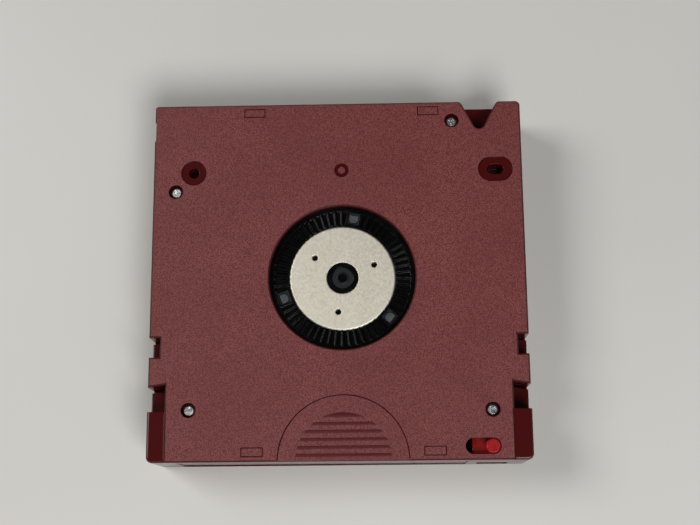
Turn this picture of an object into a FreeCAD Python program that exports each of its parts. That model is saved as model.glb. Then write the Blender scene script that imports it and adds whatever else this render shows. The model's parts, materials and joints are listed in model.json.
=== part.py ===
"""Half-inch data tape cartridge: case halves, reel, brake, door, leader pin and their small parts.

Frame: the cartridge lies on its top cover (z = 0) with the hub window up (+Z); +Y is the end
that goes into a drive first, -Y the label end, and the tape door is on the -X side.
All lengths are in millimetres.
"""
import FreeCAD, Part
import math
import os
from types import SimpleNamespace

import Sketcher
from FreeCAD import Placement, Rotation, Vector

DRIVING_SIZES = {
    # outer case
    "case_width": 105.4,
    "case_depth": 102.0,
    "case_height": 21.5,
    "side_inset": 0.2,              # the plain sides stand this far inside the rear grips
    "split_height": 14.85,          # parting plane of the two halves
    "parting_bevel": 0.15,
    "floor_skin": 2.0,              # plate of the half with the hub window
    "cover_skin": 1.8,              # plate of the other half
    "wall": 1.5,
    "front_left_radius": 0.8,
    "front_right_radius": 1.3,
    "rear_radius": 1.7,
    "rim_bevel": 0.45,
    "reel_offset": 1.2,             # reel axis, to the right of the case's middle
    # V notch in the front edge
    "vee_from_side": 11.8,
    "vee_half_width": 5.2,
    "vee_depth": 10.0,
    "vee_tip_radius": 1.6,
    "vee_lip_radius": 1.3,
    # notches and grips along the two sides, measured from the rear face
    "notch_from_rear": 28.8,
    "notch_length": 5.5,
    "notch_depth": 3.0,
    "grip_from_rear": 20.5,
    "grip_slant": 0.75,
    "grip_depth": 4.75,
    "wing_length": 13.8,
    "wing_drop": 0.5,
    "wing_radius": 0.7,
    "ledge_slot_width": 0.95,
    "ledge_slot_depth": 3.0,
    # hub window and its surroundings
    "window_radius": 20.5,
    "window_chamfer": 0.4,
    "partition_end_gap": 0.5,       # reel partitions to the front and rear walls
    "partition_side_gap": 0.8,      # and to the right wall
    "partition_thickness": 1.0,
    # datum holes
    "datum_from_front": 20.3,
    "datum_left_from_side": 11.5,
    "datum_right_from_side": 7.6,
    "datum_radius": 1.5,
    "datum_slot_length": 4.7,
    "datum_depth": 5.5,
    "datum_boss_wall": 1.3,
    "datum_recess_radius": 3.65,
    "datum_recess_length": 9.9,
    "datum_recess_depth": 0.4,
    # thumb grip at the rear edge
    "thumb_radius": 18.1,
    "thumb_inner_radius": 13.1,
    "thumb_depth": 0.25,
    "line_width": 0.26,             # fine grooves round the grip and the marks
    "line_depth": 0.3,
    "thumb_rib_width": 0.75,
    "thumb_rib_pitch": 2.13,
    "thumb_rib_start": 1.2,         # first rib, in from the rear face
    # shallow marks
    "mark_spread": 24.9,
    "mark_length": 6.1,
    "mark_width": 2.6,
    "mark_edge_gap": 1.3,
    "gate_from_front": 20.1,
    "gate_radius": 2.05,
    "gate_dome_radius": 1.0,
    "gate_depth": 0.35,
    # label recess on the rear face
    "label_left_from_side": 7.5,
    "label_right_from_side": 17.3,
    "label_low": 1.0,
    "label_from_top": 3.9,
    "label_depth": 0.3,
    # case screws, each set in from the two sides that it stands near
    "screw_front_left_inset": 6.47,
    "screw_front_left_from_front": 25.83,
    "screw_front_right_from_vee": 7.88,
    "screw_front_right_from_front": 5.68,
    "screw_rear_left_inset": 11.28,
    "screw_rear_left_from_rear": 14.09,
    "screw_rear_right_inset": 10.56,
    "screw_rear_right_from_rear": 13.59,
    "screw_head_radius": 1.75,
    "screw_head_height": 1.3,
    "screw_head_sink": 1.35,
    "screw_shank_radius": 0.95,
    "screw_length": 9.5,
    "screw_pilot_gap": 0.02,
    "counterbore_radius": 2.07,
    "screw_hole_radius": 1.15,
    "tower_radius": 3.3,
    "boss_radius": 2.6,
    # tape door
    "door_opening": 16.0,
    "door_travel": 14.0,
    "door_thickness": 1.3,
    "door_gap": 0.15,
    "door_overlap": 1.9,
    "track_wall": 1.0,
    "track_rear": 36.0,             # distance from the front face to the track's rear end
    "floor_groove": 0.6,
    "cover_groove": 0.5,
    "door_edge_gap": 0.2,
    "lug_depth": 1.0,
    "lug_width": 1.35,
    "lug_from_cover": 5.2,
    "lug_from_floor": 2.5,
    "edge_relief_from_front": 4.7,
    "edge_relief_length": 5.8,
    "edge_relief_depth": 0.35,
    "spring_block": 1.4,
    "spring_block_height": 2.8,
    "spring_peg_radius": 0.5,
    "spring_peg_length": 3.0,
    "spring_stop_gap": 6.0,         # spring's fixed end to the notch's inner wall
    "spring_stop_thickness": 1.2,
    "door_spring_radius": 0.85,
    "door_spring_wire": 0.3,
    "spring_end_gap": 0.2,
    "door_spring_turns": 12,
    # leader pin, its clip and its spring
    "pin_inset": 5.5,               # pin axis, in from the plain side
    "pin_from_front": 7.5,
    "pin_cover_gap": 0.7,
    "pin_floor_gap": 0.2,
    "pin_flange_radius": 1.95,
    "pin_flange": 0.9,
    "pin_neck_radius": 1.0,
    "pin_neck": 0.9,
    "pin_core_radius": 1.22,
    "pin_seat_gap": 0.2,
    "pin_seat_wall": 0.85,
    "pin_seat_height": 1.3,
    "pin_seat_reach": 40,           # how far round the seats go, in degrees
    "clip_radius": 2.0,
    "clip_end_gap": 0.325,          # clip's ends, in from the tape's edges
    "leaf_thickness": 0.3,
    "leaf_arm_height": 1.1,
    # reel
    "hub_radius": 22.0,
    "hub_bore": 20.2,
    "flange_rim_gap": 0.5,          # flange to the partitions round it
    "flange_thickness": 1.2,
    "flange_clearance": 0.3,        # flange to the floor with the window
    "flange_cover_gap": 2.05,       # other flange to the cover
    "tape_side_gap": 0.15,
    "pack_rim_gap": 1.7,            # wound tape to the flange's rim
    "hub_floor": 1.6,
    "spigot_radius": 21.4,
    "spigot_height": 0.85,
    "tooth_count": 60,
    "tooth_inner_radius": 15.3,
    "tooth_outer_radius": 19.2,
    "tooth_height": 1.0,
    "tooth_base": 1.0,
    "tooth_tip": 0.45,
    "ring_radius": 19.9,
    "ring_rim_height": 0.6,
    "ring_drop": 1.6,               # tooth tips below the case's face
    "plate_radius": 14.9,
    "plate_thickness": 1.0,
    "plate_rim_bevel": 0.3,
    "plate_hole_radius": 0.83,
    "plate_hole_circle": 9.7,
    "plate_hole_angle": 22.7,
    "plate_fit": 0.03,
    "centre_boss_radius": 4.45,
    "pad_angle": 79.2,
    "pad_circle": 17.25,
    "pad_size": 4.2,
    "leg_width": 2.5,
    "leg_depth": 2.1,
    "leg_gap": 0.2,
    "leg_drop": 0.45,               # leg ends below the tooth tips
    # brake
    "brake_teeth": 36,
    "brake_inner_radius": 8.2,
    "brake_outer_radius": 11.4,
    "brake_tooth_height": 1.2,
    "brake_tooth_base": 0.84,
    "brake_tooth_tip": 0.4,
    "brake_mesh_gap": 0.4,
    "brake_disc_radius": 15.6,
    "brake_disc_thickness": 1.3,
    "brake_travel": 1.6,
    "release_inner_radius": 12.4,
    "release_outer_radius": 15.2,
    "release_thickness": 1.0,
    "release_gap": 0.25,
    "socket_radius": 4.1,
    "socket_length": 6.4,
    "cross_length": 6.0,
    "cross_thickness": 1.2,
    "cross_gap": 0.15,
    "cross_top_gap": 3.2,           # post's end to the brake disc
    "brake_spring_radius": 5.2,
    "brake_spring_wire": 0.66,
    "brake_spring_turns": 5,
    "spring_seat_radius": 6.1,
    # write-protect tab
    "slot_left_from_side": 18.25,
    "slot_right_from_side": 8.55,
    "slot_from_rear": 3.75,
    "slot_width": 4.4,
    "knob_radius": 2.05,
    "knob_drop": 0.2,
    "knob_bevel": 0.35,
    "knob_gap": 0.1,                # knob to the slot's end
    "tab_travel": 5.4,
    "tab_plate": 1.7,
    "tab_left_gap": 1.95,           # tab's plate, in from the slot's left end
    "tab_right_gap": 2.95,          # and past its right end
    "tab_gap": 0.2,
    "tab_depth": 4.5,
    "tab_wall": 1.0,
    "tab_foot_gap": 0.3,
    "tab_ridge_gap": 2.0,
    "tab_ridge_width": 1.15,
    "tab_window_left_from_side": 14.3,
    "tab_window_right_from_side": 5.7,
    "tab_window_low": 2.4,
    "tab_window_high": 9.4,
    # cartridge memory
    "memory_width": 18.0,
    "memory_height": 9.6,
    "memory_thickness": 0.8,
    "memory_chip_size": 3.6,
    "memory_chip_height": 0.45,
    "memory_inset": 3.4,
    "memory_low": 6.6,
    "memory_gap": 1.0,              # board's lower edge to the rear wall
    "cradle_rib": 1.0,
}
PARTITION_ARCS = [(22, 66), (-66, -24), (-158, -114)]
MARK_SIDES = [-1, 1]
LEG_COUNT = 3
THUMB_RIBS = 6
THUMB_LINE_START = 2


class Size:
    """A number together with the spreadsheet expression that gives it."""

    def __init__(self, value, text):
        self.value = float(value)
        self.text = text

    @staticmethod
    def of(thing):
        return thing if isinstance(thing, Size) else Size(thing, f"{float(thing):.9f}")

    def joined(self, sign, other, value):
        return Size(value, f"({self.text} {sign} {other.text})")

    def __add__(self, other):
        other = Size.of(other)
        return self.joined("+", other, self.value + other.value)

    def __radd__(self, other):
        return Size.of(other) + self

    def __sub__(self, other):
        other = Size.of(other)
        return self.joined("-", other, self.value - other.value)

    def __rsub__(self, other):
        return Size.of(other) - self

    def __mul__(self, other):
        other = Size.of(other)
        return self.joined("*", other, self.value * other.value)

    def __rmul__(self, other):
        return Size.of(other) * self

    def __truediv__(self, other):
        other = Size.of(other)
        return self.joined("/", other, self.value / other.value)

    def __neg__(self):
        return Size(-self.value, f"(0 - {self.text})")

    def __float__(self):
        return self.value


def root(size):
    """The square root of a Size."""
    return Size(math.sqrt(size.value), f"sqrt({size.text})")


def smaller(a, b):
    """The smaller of two Sizes."""
    return Size(min(a.value, b.value), f"min({a.text}; {b.text})")


# ---------------------------------------------------------------- document helpers

def make_sheet(doc):
    """The driving sizes as cells with aliases, and as a namespace of Size values."""
    sheet = doc.addObject("Spreadsheet::Sheet", "Sizes")
    for row, (name, value) in enumerate(DRIVING_SIZES.items(), start=1):
        sheet.set(f"A{row}", name)
        sheet.set(f"B{row}", str(value))
        sheet.setAlias(f"B{row}", name)
    doc.recompute()
    return SimpleNamespace(**{name: Size(value, f"Sizes.{name}")
                              for name, value in DRIVING_SIZES.items()})


def new_body(doc, name):
    body = doc.addObject("PartDesign::Body", name)
    body.Label = name
    return body


def origin_feature(body, role):
    return next(f for f in body.Origin.OriginFeatures if f.Role == role)


def new_sketch(body, name, height=0.0, plane="XY_Plane"):
    """A sketch on one of the body's origin planes, raised along the plane's normal."""
    sketch = body.newObject("Sketcher::SketchObject", name)
    sketch.AttachmentSupport = (origin_feature(body, plane), [""])
    sketch.MapMode = "FlatFace"
    height = Size.of(height)
    sketch.AttachmentOffset = Placement(Vector(0, 0, height.value), Rotation())
    sketch.setExpression("AttachmentOffset.Base.z", height.text)
    return sketch


def turn_sketch(sketch, angle, radius):
    """Swings a sketch on the YZ plane round the body's Z axis, staying at its radius."""
    angle, radius = Size.of(angle), Size.of(radius)
    swing = math.radians(angle.value)
    base = Vector(radius.value * math.sin(swing), 0, radius.value * math.cos(swing))
    sketch.AttachmentOffset = Placement(base, Rotation(Vector(0, 1, 0), angle.value))
    sketch.setExpression("AttachmentOffset.Base.x", f"{radius.text} * sin({angle.text} * 1 deg)")
    sketch.setExpression("AttachmentOffset.Base.z", f"{radius.text} * cos({angle.text} * 1 deg)")
    sketch.setExpression("AttachmentOffset.Rotation.Angle", angle.text)


def constrain(sketch, kind, *parts):
    """Adds one dimensional constraint whose last part is a Size, bound to the sheet."""
    size = Size.of(parts[-1])
    index = sketch.addConstraint(Sketcher.Constraint(kind, *parts[:-1], size.value))
    sketch.setExpression(f"Constraints[{index}]", size.text)


def pin_point(sketch, geo, position, x, y):
    """Holds a sketch point at (x, y) from the sketch's origin."""
    constrain(sketch, "DistanceX", -1, 1, geo, position, x)
    constrain(sketch, "DistanceY", -1, 1, geo, position, y)


def add_polygon(sketch, corners):
    """A closed outline of straight lines through corners, each a pair of sizes."""
    points = [Vector(float(x), float(y), 0) for x, y in corners]
    lines = [Part.LineSegment(a, b) for a, b in zip(points, points[1:] + points[:1])]
    first = sketch.GeometryCount
    sketch.addGeometry(lines, False)
    count = len(lines)
    joins = [Sketcher.Constraint("Coincident", first + i, 2, first + (i + 1) % count, 1)
             for i in range(count)]
    sketch.addConstraint(joins)
    for i, (x, y) in enumerate(corners):
        pin_point(sketch, first + i, 1, x, y)


def add_rectangle(sketch, x0, x1, y0, y1):
    add_polygon(sketch, [(x0, y0), (x1, y0), (x1, y1), (x0, y1)])


def add_circle(sketch, x, y, radius):
    centre = Vector(float(x), float(y), 0)
    geo = sketch.addGeometry(Part.Circle(centre, Vector(0, 0, 1), float(radius)), False)
    constrain(sketch, "Radius", geo, radius)
    pin_point(sketch, geo, 3, x, y)


def add_slot(sketch, x0, x1, y, radius):
    """An obround along X from x0 to x1, ends included."""
    left, right, y, radius = Size.of(x0) + radius, Size.of(x1) - radius, Size.of(y), Size.of(radius)
    normal = Vector(0, 0, 1)
    low, high, half_turn = float(y - radius), float(y + radius), math.pi / 2
    ends = [Part.ArcOfCircle(Part.Circle(Vector(float(left), float(y), 0), normal, float(radius)),
                             half_turn, 3 * half_turn),
            Part.ArcOfCircle(Part.Circle(Vector(float(right), float(y), 0), normal, float(radius)),
                             -half_turn, half_turn)]
    sides = [Part.LineSegment(Vector(float(left), low, 0), Vector(float(right), low, 0)),
             Part.LineSegment(Vector(float(right), high, 0), Vector(float(left), high, 0))]
    a = sketch.GeometryCount
    sketch.addGeometry(ends + sides, False)
    sketch.addConstraint([Sketcher.Constraint("Tangent", a, 2, a + 2, 1),
                          Sketcher.Constraint("Tangent", a + 2, 2, a + 1, 1),
                          Sketcher.Constraint("Tangent", a + 1, 2, a + 3, 1),
                          Sketcher.Constraint("Tangent", a + 3, 2, a, 1)])
    constrain(sketch, "Radius", a, radius)
    pin_point(sketch, a, 3, left, y)
    constrain(sketch, "DistanceX", -1, 1, a + 1, 3, right)


def add_sector(sketch, x, y, inner, outer, start, end):
    """A ring sector about (x, y) from angle start to end, in degrees."""
    x, y, inner, outer = float(x), float(y), float(inner), float(outer)
    begin, finish, normal = math.radians(start), math.radians(end), Vector(0, 0, 1)
    centre = Vector(x, y, 0)

    def rim(radius, angle):
        return centre + Vector(radius * math.cos(angle), radius * math.sin(angle), 0)
    a = sketch.GeometryCount
    sketch.addGeometry([Part.ArcOfCircle(Part.Circle(centre, normal, inner), begin, finish),
                        Part.ArcOfCircle(Part.Circle(centre, normal, outer), begin, finish),
                        Part.LineSegment(rim(inner, begin), rim(outer, begin)),
                        Part.LineSegment(rim(inner, finish), rim(outer, finish))], False)
    sketch.addConstraint([Sketcher.Constraint("Coincident", a, 1, a + 2, 1),
                          Sketcher.Constraint("Coincident", a + 1, 1, a + 2, 2),
                          Sketcher.Constraint("Coincident", a, 2, a + 3, 1),
                          Sketcher.Constraint("Coincident", a + 1, 2, a + 3, 2)])


def finish_feature(body, feature):
    body.Tip = feature
    body.Document.recompute()
    return feature


def add_pad(body, name, sketch, length, reverse=False):
    pad = body.newObject("PartDesign::Pad", name)
    pad.Profile = sketch
    pad.setExpression("Length", Size.of(length).text)
    pad.Reversed = reverse
    return finish_feature(body, pad)


def add_pocket(body, name, sketch, length, reverse=False):
    """Cuts against the sketch's normal, or along it when reversed, and checks that it cut."""
    before = body.Shape.Volume
    pocket = body.newObject("PartDesign::Pocket", name)
    pocket.Profile = sketch
    pocket.setExpression("Length", Size.of(length).text)
    pocket.Reversed = reverse
    finish_feature(body, pocket)
    if not pocket.Shape.Volume < before:
        raise RuntimeError(f"{name} cuts nothing")
    return pocket


def add_revolution(body, name, sketch, axis="V_Axis"):
    turn = body.newObject("PartDesign::Revolution", name)
    turn.Profile = sketch
    turn.ReferenceAxis = (sketch, [axis])
    turn.Angle = 360
    return finish_feature(body, turn)


def add_polar(body, name, originals, count):
    pattern = body.newObject("PartDesign::PolarPattern", name)
    pattern.Originals = originals
    pattern.Axis = (origin_feature(body, "Z_Axis"), [""])
    pattern.Angle = 360
    if isinstance(count, Size):
        pattern.setExpression("Occurrences", count.text)
    else:
        pattern.Occurrences = count
    return finish_feature(body, pattern)


def edge_names(shape, wanted):
    """The names of the edges for which wanted(edge) holds."""
    return [f"Edge{i}" for i, edge in enumerate(shape.Edges, start=1) if wanted(edge)]


def upright_at(*places):
    """A test for vertical edges that stand at one of the places."""
    spots = [(float(x), float(y)) for x, y in places]

    def wanted(edge):
        if len(edge.Vertexes) != 2:
            return False
        a, b = (v.Point for v in edge.Vertexes)
        upright = math.hypot(a.x - b.x, a.y - b.y) < 1e-4
        return upright and any(math.hypot(a.x - x, a.y - y) < 0.02 for x, y in spots)
    return wanted


def add_edge_feature(body, kind, name, wanted, size):
    """A fillet or chamfer on the edges of the body's tip that wanted() picks."""
    base = body.Tip
    names = edge_names(base.Shape, wanted)
    if not names:
        raise RuntimeError(f"{name} finds no edge")
    feature = body.newObject(f"PartDesign::{kind}", name)
    feature.Base = (base, names)
    feature.setExpression("Radius" if kind == "Fillet" else "Size", Size.of(size).text)
    return finish_feature(body, feature)


def place(body, x=0.0, y=0.0, z=0.0):
    """Puts a body's origin at (x, y, z), bound to the sheet."""
    for axis, size in zip("xyz", (x, y, z)):
        body.setExpression(f"Placement.Base.{axis}", Size.of(size).text)


# ---------------------------------------------------------------- shared places

def derive(s):
    """Adds the levels and places that several pieces share."""
    s.front = s.case_depth / 2
    s.rear = -s.case_depth / 2
    s.wing_side = s.case_width / 2
    s.side = s.wing_side - s.side_inset
    s.top = s.case_height
    s.floor = s.top - s.floor_skin
    s.vee_offset = s.side - s.vee_from_side
    s.vee_left = s.vee_offset - s.vee_half_width
    s.vee_right = s.vee_offset + s.vee_half_width
    s.vee_tip = s.front - s.vee_depth
    s.notch_front = s.rear + s.notch_from_rear + s.notch_length
    s.notch_rear = s.rear + s.notch_from_rear
    s.notch_inner = s.side - s.notch_depth
    s.grip_front = s.rear + s.grip_from_rear
    s.grip_inner = s.side - s.grip_depth
    s.wing_front = s.rear + s.wing_length
    s.datum_y = s.front - s.datum_from_front
    s.datum_left_offset = s.side - s.datum_left_from_side
    s.datum_right_offset = s.side - s.datum_right_from_side
    s.label_left = s.side - s.label_left_from_side
    s.label_right = s.side - s.label_right_from_side
    s.label_high = s.top - s.label_from_top
    s.screws = [(-(s.side - s.screw_front_left_inset), s.front - s.screw_front_left_from_front),
                (s.vee_offset - s.screw_front_right_from_vee,
                 s.front - s.screw_front_right_from_front),
                (-(s.side - s.screw_rear_left_inset), s.rear + s.screw_rear_left_from_rear),
                (s.side - s.screw_rear_right_inset, s.rear + s.screw_rear_right_from_rear)]
    # door and its track
    s.opening_front = s.front - s.wall
    s.opening_rear = s.opening_front - s.door_opening
    s.track_outer = s.side - s.track_wall
    s.door_outer = s.track_outer - s.door_gap
    s.door_inner = s.door_outer - s.door_thickness
    s.track_inner = s.door_inner - s.door_gap
    s.track_end = s.front - s.track_rear
    s.door_front = s.opening_front - s.door_gap
    s.door_rear = s.opening_rear - s.door_overlap
    s.door_spring_x = -(s.side - s.wall - s.door_spring_radius - s.door_spring_wire)
    s.door_spring_z = s.case_height / 2
    s.spring_stop = s.notch_front + s.wall + s.spring_stop_gap
    s.door_spring_length = s.door_rear - s.spring_stop
    s.lug_low = s.cover_skin + s.lug_from_cover
    s.lug_high = s.floor - s.lug_from_floor
    # leader pin
    s.pin_x = -(s.side - s.pin_inset)
    s.pin_y = s.front - s.pin_from_front
    s.pin_low = s.cover_skin + s.pin_cover_gap
    s.pin_high = s.floor - s.pin_floor_gap
    s.pin_length = s.pin_high - s.pin_low
    # the reel fills the room between the walls, and the tape the room between its flanges
    s.partition_radius = smaller(s.front - s.wall - s.partition_end_gap,
                                 s.side - s.wall - s.partition_side_gap - s.reel_offset)
    s.flange_radius = s.partition_radius - s.flange_rim_gap
    s.pack_radius = s.flange_radius - s.pack_rim_gap
    s.tape_width = (s.floor - s.cover_skin - s.flange_clearance - s.flange_cover_gap
                    - 2 * s.flange_thickness - 2 * s.tape_side_gap)
    s.clip_length = s.tape_width - 2 * s.clip_end_gap
    # reel levels, from the window side inwards
    s.tooth_top = s.top - s.ring_drop
    s.valley = s.tooth_top - s.tooth_height
    s.flange_top = s.floor - s.flange_clearance
    s.flange_low = s.flange_top - s.flange_thickness
    s.tape_high = s.flange_low - s.tape_side_gap
    s.tape_low = s.tape_high - s.tape_width
    s.disc_top = s.tape_low - s.tape_side_gap
    s.disc_low = s.disc_top - s.flange_thickness
    s.plate_top = s.flange_top
    s.plate_low = s.plate_top - s.plate_thickness
    s.hub_inner = s.plate_low - s.hub_floor
    s.leg_top = s.tooth_top - s.leg_drop
    # brake levels
    s.brake_top = s.hub_inner - s.brake_tooth_height - s.brake_mesh_gap
    s.brake_low = s.brake_top - s.brake_disc_thickness
    s.release_top = s.hub_inner - s.release_gap
    s.release_low = s.release_top - s.release_thickness
    s.cross_top = s.brake_low - s.cross_top_gap
    s.cross_height = s.cross_top - s.cover_skin
    # write-protect tab
    s.slot_left = s.side - s.slot_left_from_side
    s.slot_right = s.side - s.slot_right_from_side
    s.tab_left = s.slot_left + s.tab_left_gap
    s.tab_right = s.slot_right + s.tab_right_gap
    s.tab_window_left = s.side - s.tab_window_left_from_side
    s.tab_window_right = s.side - s.tab_window_right_from_side
    s.tab_ridge_left = s.tab_window_right - s.tab_ridge_gap
    s.slot_y = s.rear + s.slot_from_rear
    s.tab_top = s.floor - s.tab_gap
    s.tab_rear = s.rear + s.wall + s.tab_gap
    s.tab_front = s.tab_rear + s.tab_depth
    s.tab_foot = s.cover_skin + s.tab_foot_gap
    # memory board, leaning at 45 degrees over the rear edge
    s.memory_x = -(s.side - s.memory_inset)
    s.memory_y = s.rear + s.wall + s.memory_gap
    return s


def outer_corners(s, notched):
    """The case's outline, clockwise from the front left corner."""
    corners = [(-s.side, s.front)]
    if notched:
        corners += [(s.vee_left, s.front), (s.vee_offset, s.vee_tip), (s.vee_right, s.front)]
    corners += [(s.side, s.front)]
    right = []
    if notched:
        right += [(s.side, s.notch_front), (s.notch_inner, s.notch_front),
                  (s.notch_inner, s.notch_rear), (s.side, s.notch_rear),
                  (s.side, s.grip_front), (s.grip_inner, s.grip_front + s.grip_slant),
                  (s.grip_inner, s.wing_front), (s.wing_side, s.wing_front)]
    else:
        right += [(s.side, s.wing_front), (s.wing_side, s.wing_front)]
    right += [(s.wing_side, s.rear)]
    left = [(-x, y) for x, y in reversed(right)]
    return corners + right + left


def inner_corners(s):
    """The cavity under the outline, a wall inside it all round, with the same notches."""
    w = s.wall
    slope = root(s.vee_half_width * s.vee_half_width + s.vee_depth * s.vee_depth)
    reach = s.vee_half_width + w * (slope - s.vee_half_width) / s.vee_depth
    deep = s.vee_tip - w * slope / s.vee_half_width
    corners = [(-(s.side - w), s.front - w), (s.vee_offset - reach, s.front - w),
               (s.vee_offset, deep), (s.vee_offset + reach, s.front - w),
               (s.side - w, s.front - w)]
    right = [(s.side - w, s.notch_front + w), (s.notch_inner - w, s.notch_front + w),
             (s.notch_inner - w, s.notch_rear - w), (s.side - w, s.notch_rear - w),
             (s.side - w, s.grip_front + s.grip_slant + w),
             (s.grip_inner - w, s.grip_front + s.grip_slant + w),
             (s.grip_inner - w, s.wing_front - w), (s.wing_side - w, s.wing_front - w),
             (s.wing_side - w, s.rear + w)]
    left = [(-x, y) for x, y in reversed(right)]
    return corners + right + left


def partition_arcs(s, sketch):
    """Low walls that keep the full reel in place, in the three corners away from the tape's way."""
    outer = s.partition_radius + s.partition_thickness
    for start, end in PARTITION_ARCS:
        add_sector(sketch, s.reel_offset, 0, s.partition_radius, outer, start, end)


def pin_seat(s, sketch):
    """Half a ring beside the leader pin's end, open towards the door."""
    inner = s.pin_flange_radius + s.pin_seat_gap
    add_sector(sketch, s.pin_x, s.pin_y, inner, inner + s.pin_seat_wall,
               -90, float(s.pin_seat_reach))


# ---------------------------------------------------------------- case halves

def build_lower_case(doc, s):
    """The half with the hub window: a shell with towers, datum holes, grips and slots."""
    body = new_body(doc, "lower_case")
    sketch = new_sketch(body, "lower_outline", s.split_height)
    add_polygon(sketch, outer_corners(s, notched=True))
    add_pad(body, "lower_block", sketch, s.top - s.split_height)

    sketch = new_sketch(body, "wing_outline", s.top)
    for side in (-1, 1):
        add_rectangle(sketch, s.grip_inner * side, (s.wing_side + 1) * side,
                      s.rear - 1, s.wing_front + 1)
    add_pocket(body, "wing_drop_cut", sketch, s.wing_drop)

    corner_fillets(body, s)
    add_edge_feature(body, "Fillet", "wing_rounding", wing_edges(s), s.wing_radius)
    add_edge_feature(body, "Chamfer", "rim_bevel", level_edges(s.top), s.rim_bevel)
    add_edge_feature(body, "Chamfer", "lower_parting_bevel", level_edges(s.split_height),
                     s.parting_bevel)

    sketch = new_sketch(body, "lower_cavity_outline", s.split_height)
    add_polygon(sketch, inner_corners(s))
    add_pocket(body, "lower_cavity", sketch, s.floor - s.split_height, reverse=True)

    lower_inner_features(body, s)
    lower_window(body, s)
    lower_holes(body, s)
    lower_face_marks(body, s)
    door_side_cuts(body, s, s.split_height, s.floor, s.floor + s.floor_groove)
    label_recess(body, s, s.split_height, s.label_high)
    return body


def corner_fillets(body, s):
    """Rounds the standing corners of the outline."""
    rounds = [("vee_tip_round", [(s.vee_offset, s.vee_tip)], s.vee_tip_radius),
              ("vee_lip_round", [(s.vee_left, s.front), (s.vee_right, s.front)],
               s.vee_lip_radius),
              ("front_left_round", [(-s.side, s.front)], s.front_left_radius),
              ("front_right_round", [(s.side, s.front)], s.front_right_radius),
              ("rear_round", [(-s.wing_side, s.rear), (s.wing_side, s.rear)], s.rear_radius)]
    for name, places, radius in rounds:
        add_edge_feature(body, "Fillet", name, upright_at(*places), radius)


def wing_edges(s):
    """Outer and rear edges of the two lowered wings."""
    level, side, rear = float(s.top - s.wing_drop), float(s.wing_side), float(s.rear)
    front, inner = float(s.wing_front), float(s.grip_inner)

    def wanted(edge):
        box = edge.BoundBox
        flat = abs(box.ZMin - level) < 1e-3 and abs(box.ZMax - level) < 1e-3
        outer = max(abs(box.XMin), abs(box.XMax)) > inner + 0.5
        rim = min(abs(box.XMin), abs(box.XMax)) > side - 2.5 or abs(box.YMin - rear) < 1e-3
        return flat and outer and rim and box.YMin < front - 0.5
    return wanted


def level_edges(height):
    """A test for edges that lie flat at one height."""
    level = float(height)

    def wanted(edge):
        box = edge.BoundBox
        return abs(box.ZMin - level) < 1e-3 and abs(box.ZMax - level) < 1e-3
    return wanted


def lower_inner_features(body, s):
    """Screw towers, datum bosses, reel partitions, pin seat and tab rail, down from the floor."""
    sketch = new_sketch(body, "lower_posts", s.split_height)
    for x, y in s.screws:
        add_circle(sketch, x, y, s.tower_radius)
    add_pad(body, "lower_posts_pad", sketch, s.floor - s.split_height + 0.1)

    sketch = new_sketch(body, "datum_bosses", s.split_height)
    radius = s.datum_radius + s.datum_boss_wall
    half = s.datum_slot_length / 2 + s.datum_boss_wall
    add_circle(sketch, -s.datum_left_offset, s.datum_y, radius)
    add_slot(sketch, s.datum_right_offset - half, s.datum_right_offset + half, s.datum_y, radius)
    add_pad(body, "datum_boss_pad", sketch, s.floor - s.split_height + 0.1)

    sketch = new_sketch(body, "lower_partitions", s.split_height)
    partition_arcs(s, sketch)
    add_pad(body, "lower_partition_pad", sketch, s.floor - s.split_height + 0.1)

    sketch = new_sketch(body, "lower_pin_seat", s.floor - s.pin_seat_height)
    pin_seat(s, sketch)
    add_rectangle(sketch, s.tab_left - s.tab_travel - 1, s.tab_right - 1,
                  s.tab_front + s.tab_gap, s.tab_front + s.tab_gap + 0.8)
    add_pad(body, "lower_pin_seat_pad", sketch, s.pin_seat_height + 0.1)


def lower_window(body, s):
    """The round hub window with its bevelled edge."""
    sketch = new_sketch(body, "window_outline", s.top)
    add_circle(sketch, s.reel_offset, 0, s.window_radius)
    add_pocket(body, "window", sketch, s.floor_skin + 1)
    level, radius = float(s.top), float(s.window_radius)
    add_edge_feature(body, "Chamfer", "window_bevel",
                     lambda edge: abs(edge.BoundBox.ZMin - level) < 1e-3
                     and abs(edge.BoundBox.XLength - 2 * radius) < 0.01
                     and abs(edge.BoundBox.YLength - 2 * radius) < 0.01, s.window_chamfer)


def lower_holes(body, s):
    """Counterbored screw holes, datum holes with their recesses, and the tab slot."""
    sketch = new_sketch(body, "counterbores", s.top)
    for x, y in s.screws:
        add_circle(sketch, x, y, s.counterbore_radius)
    add_pocket(body, "counterbore_cut", sketch, s.screw_head_sink + s.screw_head_height)

    sketch = new_sketch(body, "screw_holes", s.top)
    for x, y in s.screws:
        add_circle(sketch, x, y, s.screw_hole_radius)
    add_pocket(body, "screw_hole_cut", sketch, s.top - s.split_height + 1)

    half = s.datum_recess_length / 2
    sketch = new_sketch(body, "datum_recesses", s.top)
    add_circle(sketch, -s.datum_left_offset, s.datum_y, s.datum_recess_radius)
    add_slot(sketch, s.datum_right_offset - half, s.datum_right_offset + half,
             s.datum_y, s.datum_recess_radius)
    add_pocket(body, "datum_recess_cut", sketch, s.datum_recess_depth)

    half = s.datum_slot_length / 2
    sketch = new_sketch(body, "datum_holes", s.top)
    add_circle(sketch, -s.datum_left_offset, s.datum_y, s.datum_radius)
    add_slot(sketch, s.datum_right_offset - half, s.datum_right_offset + half,
             s.datum_y, s.datum_radius)
    add_pocket(body, "datum_hole_cut", sketch, s.datum_depth)

    sketch = new_sketch(body, "tab_slot", s.top)
    add_slot(sketch, s.slot_left, s.slot_right, s.slot_y, s.slot_width / 2)
    add_pocket(body, "tab_slot_cut", sketch, s.floor_skin + 0.05)


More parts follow.
